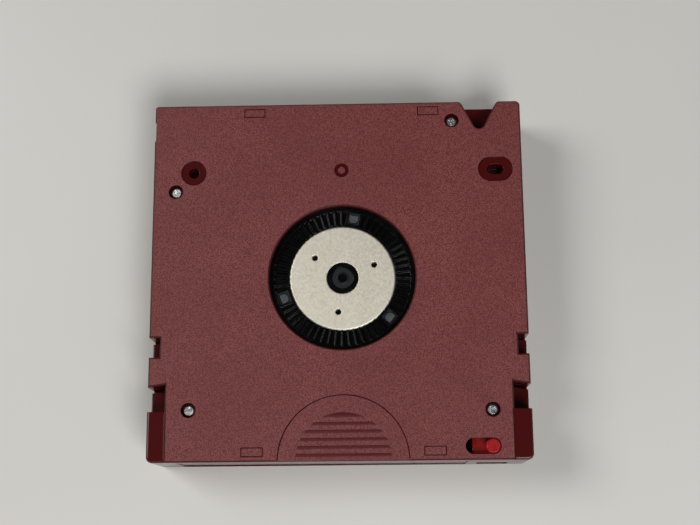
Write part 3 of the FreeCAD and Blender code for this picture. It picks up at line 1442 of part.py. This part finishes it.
def check_document(doc, parts):
    """Stops if any object failed or any part's shape is empty or invalid."""
    failed = [o.Name for o in doc.Objects if "Invalid" in o.State or "Error" in o.State]
    if failed:
        raise RuntimeError(f"failed objects: {failed}")
    for part in parts:
        if part.Shape.isNull() or not part.Shape.isValid():
            raise RuntimeError(f"{part.Label} has no valid shape")


def main():
    doc = FreeCAD.newDocument("tape_cartridge")
    s = derive(make_sheet(doc))
    makers = [build_lower_case, build_upper_case, build_case_screws, build_door, build_door_spring,
              build_leader_pin, build_tape_lead, build_tape_clip, build_pin_spring, build_reel_hub,
              build_upper_flange, build_reel_plate, build_tape_pack, build_brake_button,
              build_release_plate, build_brake_spring, build_write_protect_tab]
    parts = [maker(doc, s) for maker in makers]
    parts += build_memory(doc, s)
    doc.recompute()
    check_document(doc, parts)
    os.makedirs("parts", exist_ok=True)
    for part in parts:
        part.Shape.exportStep(f"parts/{part.Label}.step")
        print(f"{part.Label}: {len(part.Shape.Solids)} solid(s), {part.Shape.Volume:.1f} mm3")


main()
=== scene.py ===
"""Half-inch data tape cartridge, lying on its cover with the hub window up.

The pieces come from the frame. This script gives each its finish, winds the two coil springs
from round wire, and sets the floor, the light and the camera.
"""
import json
import math

import bpy
import numpy as np
from mathutils import Matrix, Vector

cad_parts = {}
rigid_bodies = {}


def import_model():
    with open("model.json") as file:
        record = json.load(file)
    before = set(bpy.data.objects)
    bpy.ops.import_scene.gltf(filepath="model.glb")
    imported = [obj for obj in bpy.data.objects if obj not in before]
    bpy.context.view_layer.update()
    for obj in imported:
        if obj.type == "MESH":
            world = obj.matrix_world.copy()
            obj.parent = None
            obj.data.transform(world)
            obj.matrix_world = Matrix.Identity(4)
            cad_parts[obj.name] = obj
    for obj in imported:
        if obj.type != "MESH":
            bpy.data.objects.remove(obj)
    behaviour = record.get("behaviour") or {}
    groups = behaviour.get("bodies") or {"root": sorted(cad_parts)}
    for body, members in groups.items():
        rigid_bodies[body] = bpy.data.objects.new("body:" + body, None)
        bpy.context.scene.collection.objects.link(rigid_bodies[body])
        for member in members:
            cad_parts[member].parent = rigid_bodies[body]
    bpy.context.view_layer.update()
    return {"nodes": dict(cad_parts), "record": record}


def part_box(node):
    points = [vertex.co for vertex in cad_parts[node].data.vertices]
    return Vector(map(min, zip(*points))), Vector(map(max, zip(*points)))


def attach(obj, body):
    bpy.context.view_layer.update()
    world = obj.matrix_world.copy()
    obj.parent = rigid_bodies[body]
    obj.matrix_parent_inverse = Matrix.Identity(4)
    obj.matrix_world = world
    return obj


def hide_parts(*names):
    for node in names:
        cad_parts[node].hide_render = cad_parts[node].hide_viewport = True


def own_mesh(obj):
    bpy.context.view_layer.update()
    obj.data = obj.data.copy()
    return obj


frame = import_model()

MM = 0.001                                  # a millimetre, in metres
NODES = frame["nodes"]


def centre(node):
    """Middle of a node's box, in metres."""
    low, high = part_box(node)
    return [(a + b) / 2 for a, b in zip(low, high)]


CASE_LOW, CASE_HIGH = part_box("lower_case")
FACE = CASE_HIGH[2]                         # height of the window face
REAR = CASE_LOW[1]                          # the rear face, at the label end
REEL_X, REEL_Y = centre("reel_plate")[:2]   # the reel's axis
HUB_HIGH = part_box("reel_hub")[1][2]         # height of the driving teeth's tips

GRIP_REACH = 13.25 * MM                     # radius of the ribbed half disc in the thumb grip
RIB_FIRST = 1.2 * MM                        # near side of the first rib, from the rear face
RIB_PITCH = 2.13 * MM
RIB_HALF = 0.375 * MM                       # half the width of a rib
PAD_DEPTH = 0.45 * MM                       # the three pads below the tips of the teeth
DIMPLE_REACH = (1.3 * MM, 3.0 * MM)         # inner and outer radius of the hub's middle dish


# ---------------------------------------------------------------- shader helpers

class Finish:
    """A material under construction: its node tree, its shader and short ways to add nodes."""

    def __init__(self, name, **sockets):
        self.material = bpy.data.materials.new(name)
        self.material.use_nodes = True
        self.tree = self.material.node_tree
        self.shader = self.tree.nodes["Principled BSDF"]
        for key, value in sockets.items():
            self.shader.inputs[key.replace("_", " ")].default_value = value
        self.place = self.add("ShaderNodeTexCoord").outputs["Object"]

    def add(self, kind, settings=None, **inputs):
        """A node of this kind; inputs are numbers, colours or other nodes' outputs."""
        node = self.tree.nodes.new(kind)
        for key, value in (settings or {}).items():
            setattr(node, key, value)
        for key, value in inputs.items():
            self.feed(node.inputs[key.replace("_", " ")], value)
        return node

    def feed(self, socket, value):
        """Links an output to the socket, or sets a number or colour on it."""
        if isinstance(value, bpy.types.NodeSocket):
            self.tree.links.new(value, socket)
        else:
            socket.default_value = value

    def maths(self, operation, *values):
        """The output of one sum on numbers or outputs."""
        node = self.add("ShaderNodeMath", {"operation": operation})
        for socket, value in zip(node.inputs, values):
            self.feed(socket, value)
        return node.outputs[0]

    def noise(self, scale, detail=2.0, roughness=0.5):
        """Noise of 0..1 with scale cells to the metre."""
        node = self.add("ShaderNodeTexNoise", Scale=scale, Detail=detail, Roughness=roughness,
                        Vector=self.place)
        return node.outputs["Fac"]

    def spread(self, value, low, high, to_low=0.0, to_high=1.0):
        """Maps value from low..high to to_low..to_high, clamped."""
        node = self.add("ShaderNodeMapRange", {"clamp": True}, Value=value)
        for key, number in (("From Min", low), ("From Max", high),
                            ("To Min", to_low), ("To Max", to_high)):
            self.feed(node.inputs[key], number)
        return node.outputs[0]

    def blend(self, amount, first, second):
        """The first colour where amount is 0 and the second where it is 1."""
        node = self.add("ShaderNodeMix", {"data_type": "RGBA"})
        self.feed(node.inputs[0], amount)
        self.feed(node.inputs[6], first)
        self.feed(node.inputs[7], second)
        return node.outputs[2]

    def split_place(self):
        """The x, y and z of the place on the object."""
        return self.add("ShaderNodeSeparateXYZ", Vector=self.place).outputs

    def facing_up(self):
        """How far the surface faces up: 1 straight up, 0 upright and -1 straight down."""
        normal = self.add("ShaderNodeNewGeometry").outputs["Normal"]
        return self.add("ShaderNodeSeparateXYZ", Vector=normal).outputs[2]

    def reach(self, x, y, middle_x, middle_y):
        """Distance across the face from a middle."""
        across = self.maths("SUBTRACT", x, middle_x)
        along = self.maths("SUBTRACT", y, middle_y)
        return self.maths("SQRT", self.maths("ADD", self.maths("MULTIPLY", across, across),
                                             self.maths("MULTIPLY", along, along)))

    def bump(self, height, depth, strength=1.0, edge=0.0):
        """Relief depth metres deep from a height of 0..1, over edges softened to radius edge."""
        node = self.add("ShaderNodeBump", Height=height, Distance=depth, Strength=strength)
        if edge:
            rounded = self.add("ShaderNodeBevel", {"samples": 6}, Radius=edge)
            self.tree.links.new(rounded.outputs[0], node.inputs["Normal"])
        self.tree.links.new(node.outputs[0], self.shader.inputs["Normal"])

    def colour(self, value):
        self.feed(self.shader.inputs["Base Color"], value)

    def roughness(self, value):
        self.feed(self.shader.inputs["Roughness"], value)


def rgb(red, green, blue):
    """A colour socket's value from linear red, green and blue."""
    return (red, green, blue, 1.0)


def dress(node, material):
    """Puts one finish on every slot of a CAD node."""
    mesh = NODES[node].data
    if not mesh.materials:
        mesh.materials.append(material)
    for i in range(len(mesh.materials)):
        mesh.materials[i] = material


# ---------------------------------------------------------------- finishes

BURGUNDY = rgb(0.104, 0.0090, 0.0080)           # hollows of the grain
BURGUNDY_PEAK_AND_SHEEN = rgb(0.248, 0.067, 0.065)        # its peaks, lightened further as painted sheen and painted sparkle highlights
BURGUNDY_PATCH = rgb(0.110, 0.0125, 0.011)      # faint broad patches
BURGUNDY_SMOOTH = rgb(0.062, 0.0036, 0.0035)    # polished walls, ledges and recesses
BURGUNDY_GRIP = rgb(0.080, 0.0065, 0.0065)      # between the ribs of the thumb grip


def case_finish():
    """Burgundy moulding: spark-eroded grain on the two flat faces, its pale peaks carrying
    painted sheen, polished everywhere else.
    """
    f = Finish("case_plastic", Roughness=0.5, IOR=1.5, Specular_IOR_Level=0.42)
    x, y, z = f.split_place()
    level = f.maths("ABSOLUTE", f.facing_up())
    flat = f.spread(level, 0.90, 0.96)
    slanted = f.maths("MULTIPLY", f.spread(level, 0.2, 0.4), f.maths("SUBTRACT", 1.0, flat))
    window_side = f.spread(z, FACE - 0.285 * MM, FACE - 0.265 * MM)
    cover_side = f.spread(z, 0.2 * MM, 0.1 * MM)

    # the thumb grip, its ribs, and a strip of grain left along the top of each rib
    in_grip = f.spread(f.reach(x, y, REEL_X, REAR), GRIP_REACH + 0.05 * MM,
                       GRIP_REACH - 0.05 * MM)
    grip = f.maths("MULTIPLY", in_grip, f.spread(z, FACE - 1.0 * MM, FACE - 0.8 * MM))
    rib = f.maths("MULTIPLY", in_grip, f.spread(z, FACE - 0.12 * MM, FACE - 0.06 * MM))
    row = f.maths("MODULO", f.maths("SUBTRACT", y, REAR + RIB_FIRST), RIB_PITCH)
    crest = f.spread(f.maths("ABSOLUTE", f.maths("SUBTRACT", row, RIB_HALF)),
                     0.16 * MM, 0.32 * MM, 0.2, 0.0)
    grained = f.maths("MULTIPLY", flat, f.maths("MAXIMUM", window_side, cover_side))
    grained = f.maths("MULTIPLY", grained,
                      f.maths("MAXIMUM", f.maths("SUBTRACT", 1.0, rib), crest))

    grain = f.noise(3800, 2.0, 0.62)
    speckle_and_painted_sparkle = f.spread(grain, 0.43, 0.59)
    patches = f.spread(f.noise(45, 3.0, 0.5), 0.35, 0.65)
    # the pale grain peaks are lightened as painted sheen and painted sparkle highlights
    tint = f.blend(speckle_and_painted_sparkle, BURGUNDY, BURGUNDY_PEAK_AND_SHEEN)
    tint = f.blend(f.maths("MULTIPLY", patches, 0.3), tint, BURGUNDY_PATCH)
    smooth = f.blend(grip, BURGUNDY_SMOOTH, BURGUNDY_GRIP)
    f.colour(f.blend(grained, smooth, tint))

    satin = f.maths("MAXIMUM", f.maths("MULTIPLY", grip, 0.5), f.maths("MULTIPLY", slanted, 0.9))
    f.roughness(f.spread(f.maths("MAXIMUM", grained, satin), 0, 1, 0.20, 0.52))
    edge = f.spread(z, FACE - 0.45 * MM, FACE - 0.40 * MM, 0.32 * MM, 0.16 * MM)
    f.bump(f.maths("MULTIPLY", grain, grained), 0.12 * MM, 1.0, edge)
    return f.material


def black_plastic():
    """Glossy black moulding of the reel, satin and painted lighter as sheen in the three pads and
    the hub's middle dish.
    """
    f = Finish("reel_black", Roughness=0.2, IOR=1.5, Specular_IOR_Level=0.38)
    x, y, z = f.split_place()
    from_axis = f.reach(x, y, REEL_X, REEL_Y)
    inner, outer = DIMPLE_REACH
    dimple = f.maths("MULTIPLY", f.spread(from_axis, outer + 0.1 * MM, outer - 0.1 * MM),
                     f.spread(from_axis, inner - 0.1 * MM, inner + 0.1 * MM))
    off_pad = f.maths("ABSOLUTE", f.maths("SUBTRACT", z, HUB_HIGH - PAD_DEPTH))
    pad = f.maths("MULTIPLY", f.spread(f.facing_up(), 0.9, 0.95),
                  f.spread(off_pad, 0.04 * MM, 0.02 * MM))
    satin = f.maths("MAXIMUM", pad, dimple)
    cloud = f.spread(f.noise(400, 3.0), 0.3, 0.7)
    black = f.blend(cloud, rgb(0.0008, 0.0008, 0.0010), rgb(0.0018, 0.0018, 0.0022))
    # the satin pads and middle dish get a lighter grey as painted sheen
    f.colour(f.blend(satin, black, rgb(0.010, 0.012, 0.014)))
    f.roughness(f.maths("MAXIMUM", f.spread(cloud, 0, 1, 0.18, 0.26),
                        f.maths("MULTIPLY", satin, 0.45)))
    f.bump(f.noise(3000, 2.0), 0.003 * MM, edge=0.12 * MM)
    return f.material


def plate_steel():
    """Nickel-plated steel with a fine blasted face."""
    f = Finish("plate_steel", Roughness=0.42, Metallic=1.0)
    grain = f.noise(1900, 3.0, 0.6)
    cloud = f.noise(120, 3.0, 0.5)
    tint = f.blend(f.spread(grain, 0.25, 0.75), rgb(0.87, 0.82, 0.68), rgb(0.97, 0.92, 0.79))
    f.colour(f.blend(f.spread(cloud, 0.4, 0.75, 0.0, 0.4), tint, rgb(0.83, 0.76, 0.61)))
    f.roughness(f.spread(grain, 0.2, 0.8, 0.46, 0.60))
    f.bump(grain, 0.006 * MM, 0.5, edge=0.45 * MM)
    return f.material


def zinc():
    """Bright zinc plating on the screws."""
    f = Finish("screw_zinc", Roughness=0.25, Metallic=1.0)
    cloud = f.noise(900, 3.0)
    f.colour(f.blend(f.spread(cloud, 0.3, 0.7), rgb(0.80, 0.82, 0.82), rgb(0.95, 0.95, 0.94)))
    f.roughness(f.spread(cloud, 0.3, 0.7, 0.24, 0.42))
    f.bump(f.noise(2500, 2.0), 0.006 * MM, edge=0.08 * MM)
    return f.material


def spring_steel(name):
    """Drawn wire: faint lines and a slight blue-grey cast."""
    f = Finish(name, Roughness=0.3, Metallic=1.0)
    lines = f.noise(1500, 3.0)
    f.colour(f.blend(f.spread(lines, 0.3, 0.7), rgb(0.42, 0.43, 0.45), rgb(0.55, 0.56, 0.57)))
    f.roughness(f.spread(lines, 0.3, 0.7, 0.22, 0.38))
    f.bump(lines, 0.004 * MM)
    return f.material


def turned_steel():
    """The leader pin: bright turned steel with fine rings along its length."""
    f = Finish("pin_steel", Roughness=0.18, Metallic=1.0)
    rings = f.add("ShaderNodeTexWave", {"bands_direction": "Z"}, Vector=f.place, Scale=900.0,
                  Distortion=0.6, Detail=2.0).outputs["Fac"]
    f.colour(f.blend(rings, rgb(0.60, 0.60, 0.60), rgb(0.72, 0.72, 0.71)))
    f.roughness(f.spread(rings, 0, 1, 0.14, 0.26))
    f.bump(rings, 0.002 * MM)
    return f.material


def tab_plastic():
    """Red translucent moulding of the write-protect tab, its sunken base painted darker as shade.
    """
    f = Finish("tab_red", Roughness=0.22, IOR=1.49, Transmission_Weight=0.25)
    cloud = f.noise(700, 3.0)
    red = f.blend(f.spread(cloud, 0.3, 0.7), rgb(0.40, 0.014, 0.016), rgb(0.52, 0.028, 0.030))
    knob_over_painted_shade = f.spread(f.split_place()[2], FACE - 1.2 * MM, FACE - 0.6 * MM)
    # below the knob the sunken base is painted darker as shade in its slot
    f.colour(f.blend(knob_over_painted_shade, rgb(0.27, 0.009, 0.009), red))
    f.roughness(f.spread(cloud, 0.3, 0.7, 0.16, 0.30))
    f.bump(f.noise(1600, 2.0), 0.008 * MM, 0.6, edge=0.2 * MM)
    return f.material


def plain_moulding(name, dark, light, low_rough, high_rough):
    """A moulding with slight flow clouds and a satin skin."""
    f = Finish(name, Roughness=(low_rough + high_rough) / 2, IOR=1.5)
    cloud = f.spread(f.noise(900, 3.0), 0.3, 0.7)
    f.colour(f.blend(cloud, rgb(*dark), rgb(*light)))
    f.roughness(f.spread(cloud, 0, 1, low_rough, high_rough))
    f.bump(f.noise(2700, 2.0), 0.005 * MM, edge=0.12 * MM)
    return f.material


def tape_edge():
    """Edges of the wound tape: very fine rings about the reel's axis."""
    f = Finish("tape_edge", Roughness=0.4, IOR=1.5)
    shifted = f.add("ShaderNodeMapping", Vector=f.place)
    shifted.inputs["Location"].default_value = (-REEL_X, -REEL_Y, 0)
    rings = f.add("ShaderNodeTexWave", {"wave_type": "RINGS", "rings_direction": "Z"},
                  Vector=shifted.outputs[0], Scale=700.0, Distortion=0.4,
                  Detail=3.0).outputs["Fac"]
    f.colour(f.blend(rings, rgb(0.012, 0.009, 0.008), rgb(0.028, 0.020, 0.017)))
    f.roughness(f.spread(rings, 0, 1, 0.3, 0.5))
    f.bump(rings, 0.01 * MM)
    return f.material


def dress_all():
    """Gives every node its finish, apart from the two coil springs."""
    case = case_finish()
    finishes = {
        "lower_case": case,
        "upper_case": case,
        "door": case,
        "case_screws": zinc(),
        "pin_spring": spring_steel("leaf_steel"),
        "leader_pin": turned_steel(),
        "reel_hub": black_plastic(),
        "upper_flange": black_plastic(),
        "reel_plate": plate_steel(),
        "tape_pack": tape_edge(),
        "tape_lead": plain_moulding("tape_surface", (0.010, 0.008, 0.007), (0.018, 0.014, 0.012),
                                    0.12, 0.2),
        "tape_clip": plain_moulding("clip_natural", (0.35, 0.34, 0.30), (0.42, 0.41, 0.37),
                                    0.3, 0.45),
        "brake_button": plain_moulding("brake_acetal", (0.42, 0.41, 0.37), (0.50, 0.49, 0.45),
                                       0.3, 0.42),
        "release_plate": plain_moulding("release_acetal", (0.050, 0.056, 0.060),
                                        (0.078, 0.085, 0.090), 0.3, 0.45),
        "write_protect_tab": tab_plastic(),
        "memory_board": plain_moulding("board_laminate", (0.012, 0.06, 0.02), (0.02, 0.085, 0.03),
                                       0.3, 0.4),
        "memory_chip": plain_moulding("chip_epoxy", (0.006, 0.006, 0.006), (0.012, 0.012, 0.012),
                                      0.4, 0.55),
    }
    for node, material in finishes.items():
        dress(node, material)


# ---------------------------------------------------------------- wound springs

END_TURN_PITCH = 1.05                       # an end turn's climb, in wire thicknesses


def joint_that_squeezes(node):
    """The joint that shortens this spring, its axis as 0..2 and the place of its fixed end."""
    for joint in frame["record"]["behaviour"]["joints"]:
        for spring in joint.get("deforming_nodes", []):
            if spring["node"] == node:
                axis = "xyz".index(spring["mode"][-1])
                return joint, axis, spring["fixed_end_%s_m" % spring["mode"][-1]]


def wound_spring(node, slot, wire, turns, turn_steps=32, wire_steps=12):
    """A round wire wound along a helix, with its end turns laid flat, in place of a CAD coil.

    The wire's centre stands at radius * (cos a, sin a) and climbs from end to end as a goes
    through the turns; the climb starts and stops level over one turn. Round each centre the
    wire is half a thickness * (cos b outwards + sin b across), and a cap closes each end.
    """
    joint, axis, fixed_end = joint_that_squeezes(node)
    low, high = (np.array(corner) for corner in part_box(node))
    side = (axis + 1) % 3
    radius = (high[side] - low[side] - wire) / 2
    length = high[axis] - low[axis] - wire

    share = np.linspace(0.0, 1.0, turns * turn_steps + 1)
    angle = 2 * math.pi * turns * share
    end_turn = 1.0 / turns
    level = END_TURN_PITCH * wire / length  # climb of an end turn, as a share of the length
    climb = np.interp(share, [0, end_turn, 1 - end_turn, 1], [0, level, 1 - level, 1])
    centres = np.stack([radius * np.cos(angle), radius * np.sin(angle), length * climb], axis=1)
    along = np.gradient(centres, axis=0)
    along /= np.linalg.norm(along, axis=1, keepdims=True)
    out = np.stack([np.cos(angle), np.sin(angle), 0 * angle], axis=1)
    across = np.cross(along, out)
    around = np.linspace(0.0, 2 * math.pi, wire_steps, endpoint=False)[None, :, None]
    rings = centres[:, None] + wire / 2 * (np.cos(around) * out[:, None]
                                           + np.sin(around) * across[:, None])
    points = np.concatenate([rings.reshape(-1, 3), centres[:1], centres[-1:]])
    points = np.roll(points, axis - 2, axis=1)
    points += (low + high) / 2
    points[:, axis] -= length / 2

    rows, columns = np.meshgrid(np.arange(len(share) - 1), np.arange(wire_steps), indexing="ij")
    beside = (columns + 1) % wire_steps
    wall = np.stack([rows * wire_steps + columns, rows * wire_steps + beside,
                     (rows + 1) * wire_steps + beside, (rows + 1) * wire_steps + columns],
                    axis=-1).reshape(-1, 4)
    ring = np.arange(wire_steps)
    last = len(rings.reshape(-1, 3))
    start = np.stack([ring * 0 + last, (ring + 1) % wire_steps, ring], axis=1)
    stop = np.stack([ring * 0 + last + 1, last - wire_steps + ring,
                     last - wire_steps + (ring + 1) % wire_steps], axis=1)

    mesh = bpy.data.meshes.new(node + "_wire")
    mesh.from_pydata(points.tolist(), [], wall.tolist() + start.tolist() + stop.tolist())
    mesh.polygons.foreach_set("use_smooth", np.arange(len(mesh.polygons)) < len(wall))
    mesh.materials.append(spring_steel(slot))
    spring = bpy.data.objects.new(node + "_wound", mesh)
    bpy.context.scene.collection.objects.link(spring)
    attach(spring, joint["parent"])
    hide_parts(node)
    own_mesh(spring)


def wind_springs():
    """The two coil springs, hidden in the case and in the hub."""
    wound_spring("door_spring", "door_spring_wire", wire=0.30 * MM, turns=12)
    wound_spring("brake_spring", "brake_spring_wire", wire=0.66 * MM, turns=5)


# ---------------------------------------------------------------- stage, light and camera

def pale_floor():
    """A plain pale floor that the cartridge lies on; it keeps the shadow."""
    f = Finish("floor_paint", Roughness=0.55)
    f.colour(f.blend(f.spread(f.noise(6, 2.0), 0.3, 0.7), rgb(0.66, 0.645, 0.605),
                     rgb(0.71, 0.695, 0.655)))
    half = 3.0
    corners = [(-half, -half, 0), (half, -half, 0), (half, half, 0), (-half, half, 0)]
    mesh = bpy.data.meshes.new("floor")
    mesh.from_pydata(corners, [], [(0, 1, 2, 3)])
    mesh.materials.append(f.material)
    floor = bpy.data.objects.new("floor", mesh)
    bpy.context.scene.collection.objects.link(floor)


def soft_lamp(name, place, size, power):
    """A rectangular lamp that shines at the middle of the stage."""
    light = bpy.data.lights.new(name, "AREA")
    light.shape = "RECTANGLE"
    light.size, light.size_y = size
    light.energy = power
    lamp = bpy.data.objects.new(name, light)
    lamp.location = place
    lamp.rotation_euler = (-Vector(place)).to_track_quat("-Z", "Y").to_euler()
    bpy.context.scene.collection.objects.link(lamp)


def light_studio():
    """A key lamp over the label end, a fill lamp on the left, and the room's own light."""
    soft_lamp("key_lamp", place=(0.30, -0.68, 1.0), size=(0.6, 0.5), power=9.6)
    soft_lamp("fill_lamp", place=(-0.86, 0.28, 1.0), size=(0.55, 0.6), power=7.6)
    room_light()


def room_light():
    """A plain room: pale near the horizon and dim overhead."""
    world = bpy.data.worlds.new("room")
    world.use_nodes = True
    nodes, links = world.node_tree.nodes, world.node_tree.links
    direction = nodes.new("ShaderNodeTexCoord").outputs["Generated"]
    parts = nodes.new("ShaderNodeSeparateXYZ")
    links.new(direction, parts.inputs[0])
    fade = nodes.new("ShaderNodeMapRange")
    for key, number in (("From Min", 0.05), ("From Max", 0.85),
                        ("To Min", 0.18), ("To Max", 0.04)):
        fade.inputs[key].default_value = number
    links.new(parts.outputs[2], fade.inputs["Value"])
    links.new(fade.outputs[0], nodes["Background"].inputs["Strength"])
    nodes["Background"].inputs["Color"].default_value = (0.95, 0.97, 1.0, 1)
    bpy.context.scene.world = world


def aim_camera():
    """The camera stands over the label end and looks steeply down at the window face."""
    data = bpy.data.cameras.new("camera")
    data.sensor_width = 36.0
    data.lens = 61.8
    camera = bpy.data.objects.new("camera", data)
    right = Vector((0.9996, -0.007888, -0.027169))
    up = Vector((0.013654, 0.975601, 0.219128))
    back = right.cross(up)
    turn = Matrix((right, up, back)).transposed()
    camera.matrix_world = Matrix.Translation((0.01173, -0.06987, 0.34957)) @ turn.to_4x4()
    bpy.context.scene.collection.objects.link(camera)
    bpy.context.scene.camera = camera


dress_all()
wind_springs()
pale_floor()
light_studio()
aim_camera()
bpy.context.scene.view_settings.view_transform = "Standard"
